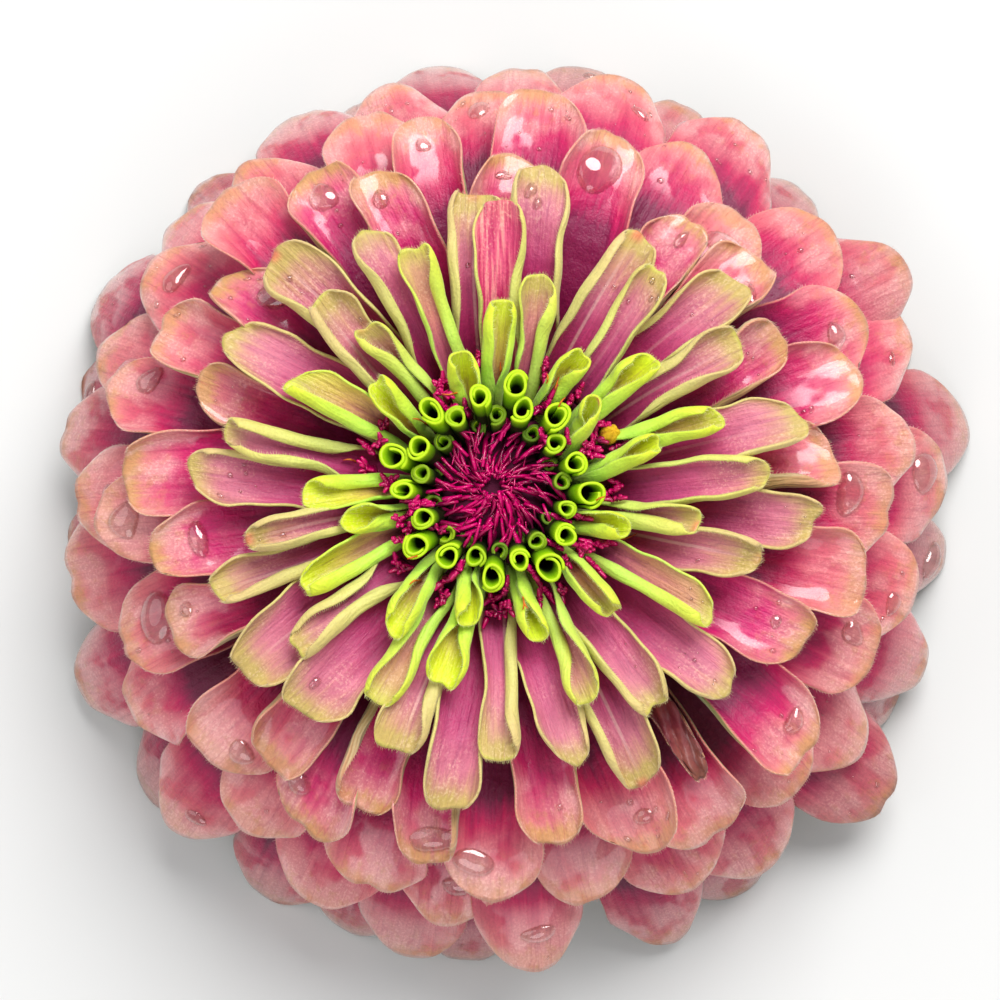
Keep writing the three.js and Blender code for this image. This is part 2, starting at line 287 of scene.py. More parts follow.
heights = [CUP_BASE + (CUP_TOP - CUP_BASE) * i / 9 for i in range(10)]
cup_rings = [[height, cup_radius(height)] for height in heights]
deselect()
bpy.ops.mesh.primitive_circle_add(
    vertices=48, radius=cup_rings[0][1] * MM, fill_type="NGON", location=(AXIS.x, AXIS.y, CUP_BASE * MM))
cup = bpy.context.object
edit(cup)
bpy.ops.mesh.select_all(action="SELECT")
raise_rings(cup_rings)
bpy.ops.mesh.edge_face_add()
bpy.ops.mesh.select_all(action="SELECT")
bpy.ops.mesh.normals_make_consistent(inside=False)
bpy.ops.object.mode_set(mode="OBJECT")


def coordinates(thing):
    """The points of a mesh, as rows of x, y and z."""
    rows = np.empty(len(thing.data.vertices) * 3)
    thing.data.vertices.foreach_get("co", rows)
    return rows.reshape(-1, 3)


def flat_sheet(across, along):
    """A grid that blades and bracts are cut from, with u from edge to edge and t from end to end."""
    deselect()
    bpy.ops.mesh.primitive_grid_add(x_subdivisions=across, y_subdivisions=along, size=2, location=(0, 0, 0))
    sheet = bpy.context.object
    sheet.data.shade_smooth()
    grid = coordinates(sheet)
    return sheet, -grid[:, 0], (grid[:, 1] + 1) / 2


def laid_copy(sheet, points, **marks):
    """A copy of a sheet with its own mesh, laid through points in millimetres, with marks to colour it by."""
    copy = sheet.copy()
    copy.data = sheet.data.copy()
    bpy.context.collection.objects.link(copy)
    copy.data.vertices.foreach_set("co", (points * MM).astype(np.float32).ravel())
    for name, values in marks.items():
        mark = copy.data.attributes.new(name, "FLOAT", "POINT")
        mark.data.foreach_set("value", np.broadcast_to(values, len(points)).astype(np.float32).copy())
    copy.data.update()
    return copy


bract_sheet, bract_u, bract_t = flat_sheet(10, 10)
# The rows of bracts from the top: where they start and end as shares of the cup's height, and their width.
BRACT_ROWS = [
    {"count": 9, "foot": 0.42, "tip": 0.985, "width": 5.4},
    {"count": 8, "foot": 0.18, "tip": 0.74, "width": 4.9},
    {"count": 6, "foot": 0.02, "tip": 0.46, "width": 4.2},
]
bracts = []
for row_number, row in enumerate(BRACT_ROWS):
    for i in range(row["count"]):
        turn = (i + row_number * 0.5) / row["count"] * 2 * math.pi + spread(i, 40 + row_number, 0.06)
        end = bract_t * (1 - 0.10 * bract_u**2 + spread(i, 50 + row_number, 0.02))
        height = CUP_BASE + (CUP_TOP - CUP_BASE) * (row["foot"] + (row["tip"] - row["foot"]) * end)
        round_off = np.sqrt(np.clip(1 - (np.clip(bract_t - 0.4, 0, 1) / 0.63) ** 2.4, 0.05, 1))
        half = row["width"] / 2 * round_off
        radius = np.array([cup_radius(h) for h in height])
        lift = 0.12 + 0.42 * bract_t + 0.12 * (1 - bract_u**2) + 0.16 * np.clip(bract_t - 0.75, 0, 1) / 0.25
        angle = turn + bract_u * half / np.maximum(radius, half)
        out = radius + lift
        points = np.stack([AXIS.x / MM + out * np.cos(angle), AXIS.y / MM + out * np.sin(angle), height], 1)
        edge = np.minimum((1 - np.abs(bract_u)) * half, (1 - bract_t) * 3.5)
        bracts.append(laid_copy(
            bract_sheet, points, along=bract_t, across=bract_u, margin=edge, chance=chance(i, 60)))
bpy.data.objects.remove(bract_sheet)
bracts = merge(bracts)
apply_modifier(bracts, "SOLIDIFY", thickness=0.35 * MM, offset=0)
involucre = merge([bracts, cup])
involucre.data.shade_smooth()

bract_green, wire = new_paint("bract_green")
spot = wire.node("TexCoord", out="Object")
along, across, margin = wire.mark("along"), wire.mark("across"), wire.mark("margin")
veins = wire.noise(wire.place(across * 14.0, along * 1.5, wire.mark("chance") * 40.0), 1.0, 3.0)
blade = (along * 0.6 + veins * 0.5).ramp(
    (0.2, 122, 146, 70), (0.55, 88, 116, 50), (0.85, 64, 88, 40))
rim = (margin + veins * 0.2).between(0.55, 0.12)
green = rim.mixed(blade, tint(38, 20, 16))
finish_paint(wire, green, veins + wire.noise(spot, 1500.0) * 0.4, 0.1, Roughness=0.55)
settle(involucre, "involucre_bracts", bract_green)
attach(involucre, "root")
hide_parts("involucre")


# Outer ray florets
# The broad, spoon-shaped ray florets of the older rings. Each grew from the heart of the head in the
# golden-angle spiral, the oldest lowest. Throats are magenta, blades salmon pink and the tips tan.

HEAD_RADIUS, HEAD_HEIGHT = 40, 31
QUILLS, INNER_FLORETS, FLORETS, LAST_FLORET = 36, 90, 168, 183
# One floret has withered and folded up, as its fellows open, and one is striped in bright pink.
WITHERED, STRIPED = 102, 67
# Three old florets stick out of the rim and the last one is drawn in: how much longer they are, how much
# higher their tip is in millimetres, and how much more it rises in degrees.
STRAGGLERS = {159: (1.05, 6.0, 28), 170: (1.05, 5.0, 24), 152: (1.04, 3.0, 15), 183: (0.95, 0.0, 0)}
GOLDEN_ANGLE, FIRST_FLORET_ANGLE = 137.508, 297
# The stages of a floret as it ages: where its root and its tip are, as shares of the head's radius and
# height, how far it rises there in degrees, and its width. Each tier hangs a gap below the one before.
TIER_GAP = 1.1
STAGE_KEYS = ("floret", "root_r", "root_z", "tip_r", "tip_z", "root_rise", "tip_rise", "width")
STAGES = np.array([
    [0, 0.1, 0.79, 0.116, 0.93, 86, 80, 3.4],
    [20, 0.106, 0.785, 0.16, 0.975, 82, 72, 4.4],
    [35, 0.112, 0.78, 0.21, 0.99, 78, 60, 5.4],
    [36, 0.12, 0.77, 0.262, 1.0, 74, 52, 5.5],
    [48, 0.122, 0.755, 0.38, 1.0, 65, 26, 6.0],
    [60, 0.125, 0.73, 0.51, 0.99, 56, 8, 6.6],
    [75, 0.13, 0.695, 0.59, 0.945, 47, -2, 7.2],
    [90, 0.135, 0.66, 0.665, 0.885, 38, -12, 7.9],
    [118, 0.145, 0.61, 0.8, 0.735, 27, -28, 8.8],
    [145, 0.155, 0.565, 0.915, 0.45, 16, -48, 9.3],
    [168, 0.16, 0.52, 0.98, 0.078, 4, -66, 9.3],
])
# How far the edges have rolled up, in degrees, at the foot of the blade, along it and at its tip, how much
# nearer the edge than the middle, how much more one edge has rolled than the other, where along the blade
# it opens, how wide it is for its stage, how narrow its foot is, how long its rounded end is for its width,
# how crumpled it is, in millimetres, and the length in millimetres that shows.
ROLLS = np.array([
    [36, 205, 205, 125, 1.1, 0.20, 0.64, 0.95, 0.60, 0.90, 0.05, 7.0],
    [44, 205, 205, 120, 1.15, 0.20, 0.60, 0.95, 0.55, 0.95, 0.06, 8.5],
    [54, 190, 202, 122, 1.3, 0.18, 0.60, 0.90, 0.56, 1.0, 0.08, 11.0],
    [62, 135, 192, 122, 1.5, 0.16, 0.64, 0.88, 0.56, 1.0, 0.12, 12.5],
    [70, 105, 176, 114, 1.7, 0.14, 0.66, 0.86, 0.50, 1.05, 0.16, 13.0],
    [78, 92, 154, 100, 2.0, 0.12, 0.69, 0.87, 0.46, 1.1, 0.18, 13.5],
    [90, 88, 126, 78, 2.3, 0.10, 0.72, 0.90, 0.38, 1.2, 0.20, 12.0],
    [106, 84, 112, 40, 2.0, 0.08, 0.72, 0.98, 0.30, 1.35, 0.22, 10.0],
    [130, 70, 62, -26, 1.8, 0.08, 0.70, 1.04, 0.25, 1.25, 0.20, 9.0],
    [150, 56, 16, -44, 1.8, 0.08, 0.66, 1.04, 0.22, 1.2, 0.18, 10.0],
    [168, 45, -16, -54, 1.8, 0.08, 0.62, 1.04, 0.20, 1.15, 0.16, 11.0],
])


def stage_at(n):
    """The stage that floret n has come to, in millimetres and degrees."""
    stage = {key: np.interp(n, STAGES[:, 0], STAGES[:, i]) for i, key in enumerate(STAGE_KEYS)}
    tiers_above = (n >= QUILLS) + (n >= INNER_FLORETS)
    away = math.radians(stage["root_rise"])
    stage["root_r"] = stage["root_r"] * HEAD_RADIUS + tiers_above * TIER_GAP * math.sin(away)
    stage["root_z"] = stage["root_z"] * HEAD_HEIGHT - tiers_above * TIER_GAP * math.cos(away)
    stage["tip_r"] *= HEAD_RADIUS
    stage["tip_z"] = stage["tip_z"] * HEAD_HEIGHT - tiers_above * TIER_GAP
    return stage


def unit(rows):
    """The same directions with a length of one."""
    return rows / np.linalg.norm(rows, axis=1)[:, None]


def midrib(stage, t):
    """Points and directions along the middle of a blade, as [radius, height]."""
    root = np.array([stage["root_r"], stage["root_z"]])
    tip = np.array([stage["tip_r"], stage["tip_z"]])
    reach = np.linalg.norm(tip - root) * 0.38
    rise, fall = math.radians(stage["root_rise"]), math.radians(stage["tip_rise"])
    leaving = root + reach * np.array([math.cos(rise), math.sin(rise)])
    arriving = tip - reach * np.array([math.cos(fall), math.sin(fall)])
    t = t[:, None]
    on = root * (1 - t) ** 3 + 3 * leaving * t * (1 - t) ** 2 + 3 * arriving * t**2 * (1 - t) + tip * t**3
    to = (leaving - root) * (1 - t) ** 2 + 2 * (arriving - leaving) * t * (1 - t) + (tip - arriving) * t**2
    return on, unit(to)


def ease(value, low, high):
    """How far a value has come from low to high, eased at both ends."""
    share = np.clip((value - low) / (high - low), 0, 1)
    return share * share * (3 - 2 * share)


def in_plan(n, out, side):
    """Places that are out from the middle of the head towards floret n, and to one side of that line."""
    angle = math.radians(FIRST_FLORET_ANGLE + spread(n, 4, 2.5)) - n * math.radians(GOLDEN_ANGLE)
    x = AXIS.x / MM + out * math.cos(angle) - side * math.sin(angle)
    return x, AXIS.y / MM + out * math.sin(angle) + side * math.cos(angle)


def blunt(share, power=2.4):
    """The height of a blunt, round-shouldered arch, at a share of the way from its middle to its side."""
    return np.clip(1 - np.clip(np.abs(share), 0, 1) ** power, 0, 1) ** (1 / power)


# The last row of a blade takes in this share of its width, and follows its rounded end.
END_ROW = 0.66


def cut_blade(u, t, long, half, foot, end_length, power):
    """The share of its length and the half width, in millimetres, at each place of a blunt-ended blade."""
    end = half * end_length
    corner = end * (1 - blunt(END_ROW, power))
    edge = long * t - corner * ease(t, 0.55, 1)
    claw = foot + (1 - foot) * np.sin(np.minimum(1, t / 0.7) * math.pi / 2) ** 1.8
    width = half * claw * blunt((edge - long + end) / end, power)
    width = np.where(edge > long - end, width, half * claw)
    bulge = (1 - blunt(END_ROW * u, power)) / (1 - blunt(END_ROW, power))
    return np.clip((long * t - corner * ease(t, 0.55, 1) * bulge) / long, 0, 1), width


def crumple(u, t, n):
    """Soft, shallow waves that are different on every blade, from -1 to 1."""
    waves = 0
    for k in range(5):
        along = 2.2 + 1.3 * k + spread(n, 60 + k, 0.8)
        aslant = spread(n, 65 + k, 0.75 + 0.3 * k)
        waves = waves + np.sin(2 * math.pi * (along * t + aslant * u + chance(n, 70 + k)))
    return waves / 3.4


def roll_up(u, half, furl, power):
    """Where a strip of a blade, half a width each way, comes to lie once its edges are rolled up."""
    steps = (np.arange(24) + 0.5) / 24
    turn = np.radians(furl)[:, None] * (np.abs(u)[:, None] * steps) ** power
    return np.cos(turn).mean(1) * u * half, np.sin(turn).mean(1) * np.abs(u) * half


# How far under a point of an older blade a younger one is looked for, the room left between the two, the
# last floret that is tucked in like this, because those at the rim hang beside each other, and how many
# florets back the last one is that can lie over a blade.
REACH_UNDER, BLADE_ROOM, LAST_TUCKED, OVERLAPPING = 1.9, 0.27, 128, 60
# No blade comes lower than this, in millimetres.
LOWEST = 0.3
blades_grown = {}


def tuck(n, points):
    """Puts the points of floret n that come up through a younger one back under it."""
    younger = range(max(QUILLS, n - OVERLAPPING), n) if n <= LAST_TUCKED else ()
    for tree, low, high in [blades_grown[m] for m in younger if m in blades_grown]:
        for i in np.flatnonzero(np.all((points[:, :2] > low) & (points[:, :2] < high), axis=1)):
            start = Vector(points[i]) + Vector((0, 0, BLADE_ROOM))
            under = tree.ray_cast(start, Vector((0, 0, -1)), REACH_UNDER)[0]
            if under:
                points[i, 2] = under.z - BLADE_ROOM
    return points


def floret_at(n, u, t):
    """Points in millimetres on floret n, u from edge to edge and t from root to tip, and its marks."""
    # Where it grows and hangs, and how long that makes it.
    stage = stage_at(n)
    stage["tip_r"] *= 1 + spread(n, 1, 0.05 if n < 120 else 0.025) - 0.025 * (n > FLORETS)
    stage["tip_z"] += spread(n, 2, 0.5)
    stage["tip_rise"] += spread(n, 3, 9)
    longer, higher, flatter = STRAGGLERS.get(n, (1, 0, 0))
    stage["tip_r"] *= longer
    stage["tip_z"] += higher
    stage["tip_rise"] += flatter
    line = midrib(stage, np.linspace(0, 1, 12))[0]
    long = np.linalg.norm(np.diff(line, axis=0), axis=1).sum()
    base, body, tip, power, bias, opening, wide, foot, end, rough, shown = (
        np.interp(n, ROLLS[:, 0], row) for row in ROLLS.T[1:])

    # How it is cut, with wavy edges and a notched or ragged end. The half-open florets are the wildest.
    half = stage["width"] / 2 * wide * (1 + spread(n, 5, 0.1))
    wild = np.interp(n, [44, 56, 90, 130, 160], [1.0, 1.7, 1.6, 1.35, 1.0])
    share, half = cut_blade(
        u, t, long, half, foot, end * (1 + wild * spread(n, 17, 0.2)), 2.1 + wild * spread(n, 18, 0.25))
    half = half * (1 + 0.035 * wild * np.sin(2 * math.pi * (1.8 * t + chance(n, 19) + 0.25 * np.sign(u))))
    half = half * (1 + 0.018 * wild * np.sin(2 * math.pi * (4.6 * t + chance(n, 93) + 0.2 * np.sign(u))))
    notch = 0.12 - chance(n, 8) ** 3 * 0.6
    ragged = 0.07 * wild * np.sin(2 * math.pi * (0.7 * u + chance(n, 94)))
    share = share + (notch * np.exp(-((u / 0.24) ** 2)) + spread(n, 26, 0.5) * u + ragged) * t**8 / long
    share = np.clip(share, 0, 1.06)
    on, to = midrib(stage, share)

    # How far its edges have rolled up at each point, in degrees, and no tighter than its thickness lets them.
    opening += spread(n, 15, 0.08)
    body *= 1 + spread(n, 7, np.interp(n, [52, 64, 100, 120], [0.2, 0.36, 0.36, 0.2]))
    if n == WITHERED:
        half, body, tip, rough = half * 0.36, 160, 130, 0.85
    furl = base + (body - base) * ease(share, 0.36, 0.62)
    furl = furl + (tip + wild * spread(n, 9, 24) - body) * ease(share, opening, 1.02)
    bias = np.sign(spread(n, 10, 1)) * bias + wild * spread(n, 16, 0.2)
    furl = furl * (1 + bias * np.sign(u))
    tightest = np.degrees(half / 0.36 / power)
    across, up = roll_up(u, half, np.clip(furl, -tightest, tightest), power)
    up = up * np.interp(n, [44, 56, 90, 110], [1, 0.78, 0.78, 1])

    # How its edges wave, its face crumples and it twists.
    wave = np.sin(2 * math.pi * (share * (1.5 + spread(n, 11, 0.5)) + chance(n, 12) + 0.3 * np.sign(u)))
    up = up + 0.09 * wild * half * wave * np.abs(u) ** 3 * ease(share, 0.25, 0.7)
    up = up + rough * crumple(u, share, n) * ease(share, 0.3, 0.75) * (0.5 + 0.3 * np.abs(u))
    twist = spread(n, 13, np.interp(n, [36, 60, 110, 140], [0.3, 0.42, 0.36, 0.12])) * share
    across, up = across * np.cos(twist) - up * np.sin(twist), across * np.sin(twist) + up * np.cos(twist)

    # Its place round the head.
    out = on[:, 0] - to[:, 1] * up
    side = across + spread(n, 6, 2.0 if n < 110 else 1.3) * share**2
    height = np.maximum(on[:, 1] + to[:, 0] * up, LOWEST)
    marks = {
        "across": u * half, "distance": share * long, "show": 1 - (1 - share) * long / shown,
        "margin": np.minimum((1 - np.abs(u)) * half, (1 - t) * long), "age": n / FLORETS,
        "chance": chance(n, 14), "wither": float(n == WITHERED), "striped": float(n == STRIPED)}
    return tuck(n, np.stack([*in_plan(n, out, side), height], 1)), marks


def crowd(u, t):
    """Places on a sheet, crowded towards the long edges and the tip of the blade."""
    return 0.45 * u + 0.55 * np.sin(u * math.pi / 2), 1 - (1 - t) ** 1.3


def grow_florets(numbers, across, along, thickness, face, back, rim):
    """The blades of the numbered florets as one piece, with a material for each side."""
    sheet, u, t = flat_sheet(across, along)
    sheet.data.materials.append(face)
    sheet.data.materials.append(back)
    blades = []
    for n in numbers:
        points, marks = floret_at(n, *crowd(u, t))
        blades.append(laid_copy(sheet, points, **marks))
    bpy.data.objects.remove(sheet)
    blades = merge(blades)
    apply_modifier(
        blades, "SOLIDIFY", thickness=thickness * MM, offset=0, material_offset=1, material_offset_rim=rim)
    return blades


def heart(low, low_radius, high, high_radius, flesh):
    """The core that a tier of florets stands on."""
    deselect()
    bpy.ops.mesh.primitive_cone_add(
        vertices=40, radius1=low_radius * MM, radius2=high_radius * MM, depth=(high - low) * MM,
        location=(AXIS.x, AXIS.y, (high + low) / 2 * MM))
    core = bpy.context.object
    apply_modifier(core, "BEVEL", width=0.25 * MM, segments=3)
    core.data.shade_smooth()
    core.data.materials.append(flesh)
    bpy.ops.object.transform_apply(location=True, rotation=True, scale=True)
    # These marks give each core the darkest end of its material's ramp: painted shade where it lies deep
    # among the florets.
    for name, value in (("show", -1.0), ("margin", 9.0), ("wither", 0.0), ("striped", 0.0)):
        mark = core.data.attributes.new(name, "FLOAT", "POINT")
        mark.data.foreach_set("value", [value] * len(core.data.vertices))
    return core


first_quill, last_quill = stage_at(0), stage_at(QUILLS - 1)
first_inner, last_inner = stage_at(QUILLS), stage_at(INNER_FLORETS - 1)
first_outer, last_outer = stage_at(INNER_FLORETS), stage_at(FLORETS - 1)
quill_base = (last_quill["root_z"] + first_inner["root_z"]) / 2
inner_base = (last_inner["root_z"] + first_outer["root_z"]) / 2
outer_base = last_outer["root_z"] - 1.2


def petal_marks(wire):
    """The values that colour a petal, with the streaks and blotches that break them up."""
    names = ("show", "across", "distance", "margin", "age", "chance", "wither", "striped")
    marks = SimpleNamespace(**{name: wire.mark(name) for name in names})
    for name, across, distance, seed, detail, roughness in (
        ("streak", 2.2, 0.15, 70.0, 3.0, 0.55),
        ("blotch", 0.42, 0.3, 90.0, 2.0, 0.5),
        ("grain", 5.0, 4.0, 50.0, 4.0, 0.65),
        ("speck", 1.1, 0.9, 30.0, 3.0, 0.6),
    ):
        spot = wire.place(marks.across * across, marks.distance * distance, marks.chance * seed)
        setattr(marks, name, wire.noise(spot, 1.0, detail, roughness))
    wander = marks.across * 1.1 + marks.speck * 0.4
    ridge = wire.noise(wire.place(wander, marks.distance * 0.1, marks.chance * 60.0), 1.0, 1.0)
    marks.vein = abs(ridge - 0.5).between(0.022, 0.0)
    return marks


petal_pink, wire = new_paint("petal_pink")
marks = petal_marks(wire)
streaky = 0.4 - marks.age.between(0.6, 0.85) * 0.16
reach = marks.show + (marks.streak - 0.5) * streaky + (marks.blotch - 0.5) * 0.25
reach = reach + 0.12 - marks.margin.between(0.2, 2.8) * 0.26 + (marks.chance - 0.5) * 0.16
young = reach.ramp(
    (0.0, 146, 0, 80), (0.16, 176, 2, 90), (0.34, 194, 26, 102), (0.54, 208, 84, 122),
    (0.8, 214, 130, 132), (0.98, 202, 152, 106))
old = reach.ramp(
    (0.0, 124, 2, 66), (0.1, 170, 16, 82), (0.26, 200, 60, 100), (0.46, 214, 102, 118),
    (0.8, 224, 136, 134), (0.98, 214, 148, 120))
blush = (marks.age + (marks.chance - 0.5) * 0.2).between(0.5, 0.78).mixed(young, old)
pale = (marks.blotch + marks.age * 0.25).between(0.6, 0.84) * marks.show.between(0.3, 0.8) * 0.5
blush = pale.mixed(blush, tint(242, 176, 174))
tan = marks.speck.between(0.5, 0.7) * marks.show.between(0.45, 0.95) * 0.5
blush = tan.mixed(blush, tint(202, 144, 96))
# Painted sheen: pale flecks where the grain and blotches meet on the open face.
sheen_flecks = marks.grain.between(0.5, 0.64) * marks.blotch.between(0.42, 0.6) * marks.show.between(0.35, 0.8)
blush = (sheen_flecks * 0.35).mixed(blush, tint(246, 204, 190))
blush = (marks.vein * marks.show.between(0.2, 0.7) * 0.25).mixed(blush, tint(176, 50, 88))
# The pale tan band along the edge is partly the blade's own tan rim and partly a painted highlight along it.
edging = (marks.margin + marks.grain * 0.16).between(0.2, 0.08)
blush = (edging * 0.5).mixed(blush, tint(222, 160, 132))
dead = marks.blotch.ramp((0.3, 90, 34, 46), (0.7, 150, 74, 64))
blush = (marks.wither * 0.85).mixed(blush, dead)
# Painted shade: the oldest florets, which hang down round the rim, are made darker.
shade = marks.age.between(0.84, 1.06) * 0.4
blush = (1.05 - shade + (marks.grain - 0.5) * 0.5 + (marks.streak - 0.5) * 0.4).toned(blush, 1.08)
relief = marks.streak * 0.6 + marks.grain * 0.3 + marks.blotch * 1.4 + marks.speck * 0.7
wet = (marks.blotch + marks.chance * 0.14).between(0.46, 0.56) * marks.show.between(0.3, 0.5)
finish_paint(
    wire, blush, relief, 0.22, Roughness=0.42, Coat_Weight=wet, Coat_Roughness=0.08, Sheen_Weight=0.15)

petal_back, wire = new_paint("petal_back_tan")
marks = petal_marks(wire)
reach = marks.show + (marks.streak - 0.5) * 0.4
back = reach.ramp((0.0, 138, 148, 78), (0.4, 184, 156, 96), (0.9, 210, 148, 112))
ribs = wire.noise(wire.place(marks.across * 2.6, marks.distance * 0.02, marks.chance * 40.0), 1.0, 1.0)
back = (ribs.between(0.5, 0.6) * 0.4).mixed(back, tint(206, 196, 150))
back = (1.0 + (marks.grain - 0.5) * 0.5).toned(back)
finish_paint(wire, back, marks.streak + ribs * 1.5, 0.25, Roughness=0.55, Sheen_Weight=0.2)

# The blades that older ones are tucked under.
sheet, u, t = flat_sheet(16, 26)
sheet_faces = [tuple(face.vertices) for face in sheet.data.polygons]
for n in range(QUILLS, LAST_TUCKED):
    points = floret_at(n, *crowd(u, t))[0]
    tree = BVHTree.FromPolygons(points.tolist(), sheet_faces)
    blades_grown[n] = tree, points[:, :2].min(0), points[:, :2].max(0)
bpy.data.objects.remove(sheet)

OUTER_THICKNESS = 0.17
outer = grow_florets(
    range(INNER_FLORETS, LAST_FLORET + 1), 16, 26, OUTER_THICKNESS, petal_pink, petal_back, 0)
outer_core = heart(
    outer_base, last_outer["root_r"] + 0.7, inner_base - 0.15, first_outer["root_r"] + 0.7, petal_pink)
outer = merge([outer, outer_core])
settle(outer, "outer_petals")
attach(outer, "root")
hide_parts("outer_ray_florets")


# Inner ray florets
# The half-open ray florets. Their edges are still rolled up and show the lime green backs, and the
# channel between them goes from dusky mauve at the throat to olive at the tip.

petal_mauve, wire = new_paint("petal_mauve")
marks = petal_marks(wire)
reach = marks.show + (marks.streak - 0.5) * 0.36 + (marks.blotch - 0.5) * 0.15
reach = reach + 0.1 - marks.margin.between(0.2, 2.2) * 0.2 + (marks.chance - 0.5) * 0.24
lime = reach.ramp(
    (0.0, 172, 84, 96), (0.2, 204, 146, 110), (0.4, 216, 194, 76), (0.6, 212, 216, 10),
    (0.95, 214, 232, 14))
dusky = reach.ramp(
    (0.0, 150, 36, 92), (0.2, 182, 58, 114), (0.42, 196, 80, 122), (0.64, 208, 114, 134),
    (0.82, 204, 146, 120), (1.0, 196, 168, 92))
throat = marks.age.between(0.34, 0.46) * marks.show.between(0.66, 0.2)
dusky = (throat * 0.7).mixed(dusky, tint(180, 10, 96))
channel = (marks.age + (marks.chance - 0.5) * 0.1).between(0.26, 0.35).mixed(lime, dusky)
fading = marks.age.between(0.36, 0.56).mixed(tint(208, 216, 70), tint(206, 168, 112))
edging = (marks.margin + marks.blotch * 0.7).between(0.8, 0.3)
channel = (edging * 0.5).mixed(channel, fading)
midrib_line = (1.0 - abs(marks.across).between(0.05, 0.2)) * (
    marks.chance.between(0.45, 0.75) * marks.show.between(1.0, 0.6))
channel = (midrib_line * 0.45).mixed(channel, tint(238, 196, 186))
stripes = marks.streak.ramp((0.4, 204, 20, 96), (0.5, 226, 84, 122), (0.62, 240, 158, 150))
channel = (marks.striped * 0.85).mixed(channel, stripes)
stain = marks.show.between(0.93, 1.0) * abs(marks.across).between(0.8, 0.2)
channel = (stain * marks.chance.between(0.8, 0.86) * 0.7).mixed(channel, tint(230, 92, 84))
# Painted sheen: pale flecks where the grain and blotches meet on the open face.
sheen_flecks = marks.grain.between(0.5, 0.64) * marks.blotch.between(0.42, 0.6) * marks.show.between(0.35, 0.8)
channel = (sheen_flecks * 0.3).mixed(channel, tint(240, 214, 180))
channel = (marks.vein * 0.25).mixed(channel, tint(130, 20, 84))
channel = (1.02 + (marks.grain - 0.5) * 0.5 + (marks.streak - 0.5) * 0.6).toned(channel)
relief = marks.streak * 0.8 + marks.grain * 0.3 + marks.speck * 0.5
finish_paint(wire, channel, relief, 0.22, Roughness=0.45, Sheen_Weight=0.15)

petal_lime_back, wire = new_paint("petal_lime_back")
marks = petal_marks(wire)
reach = marks.show + (marks.streak - 0.5) * 0.3
fresh = reach.ramp((0.0, 190, 222, 88), (0.4, 192, 240, 78), (0.95, 220, 234, 42))
turning = reach.ramp((0.0, 198, 188, 112), (0.5, 220, 210, 120), (0.95, 218, 188, 122))
back = (marks.age + (marks.chance - 0.5) * 0.1).between(0.28, 0.42).mixed(fresh, turning)
back = (1.0 + (marks.grain - 0.5) * 0.5).toned(back)
finish_paint(wire, back, marks.streak + marks.grain * 0.4, 0.2, Roughness=0.5, Sheen_Weight=0.2)

INNER_THICKNESS = 0.2
inner = grow_florets(
    range(QUILLS, INNER_FLORETS), 20, 26, INNER_THICKNESS, petal_mauve, petal_lime_back, 1)
inner_core = heart(
    inner_base + 0.15, last_inner["root_r"] + 0.7, quill_base - 0.15, first_inner["root_r"], petal_mauve)
inner = merge([inner, inner_core])
settle(inner, "inner_petals")
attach(inner, "root")
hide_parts("inner_ray_florets")


# Quill florets
# The youngest ray florets, lime green and rolled into tubes whose open mouths look up. Each is one
# blade rolled on itself, so its mouth shows where one edge lies inside the other.

quill_throat, wire = new_paint("quill_throat")
marks = petal_marks(wire)
# Painted shade: inside each tube the colour darkens to near black with depth below its mouth.
painted_depth_shade = (marks.margin + (marks.grain - 0.5) * 0.2) * 0.5
throat = painted_depth_shade.ramp(
    (0.02, 198, 230, 30), (0.12, 160, 208, 4), (0.32, 112, 160, 2), (0.66, 14, 26, 4))
finish_paint(wire, throat, marks.streak + marks.grain * 0.4, 0.14, Roughness=0.42)

quill_lime, wire = new_paint("quill_lime")
marks = petal_marks(wire)
# Painted shade: the outside of each tube darkens to near black towards its foot, less on the older tubes. The
# youngest tubes are darker green, partly their own colour and partly painted shade where they sit deepest.
painted_depth_shade = (marks.margin + (marks.grain - 0.5) * 0.4) * (0.56 - marks.age * 0.3)
grown = painted_depth_shade.ramp(
    (0.02, 196, 232, 34), (0.12, 164, 214, 10), (0.38, 112, 164, 6), (0.74, 20, 30, 4))
young = painted_depth_shade.ramp(
    (0.02, 92, 124, 26), (0.12, 56, 86, 12), (0.45, 34, 52, 14), (0.9, 14, 20, 10))
lime = (marks.age + (marks.chance - 0.5) * 0.15).between(0.12, 0.6).mixed(young, grown)
finish_paint(wire, lime, marks.streak + marks.grain * 0.4, 0.14, Roughness=0.5, Specular_IOR_Level=0.2)

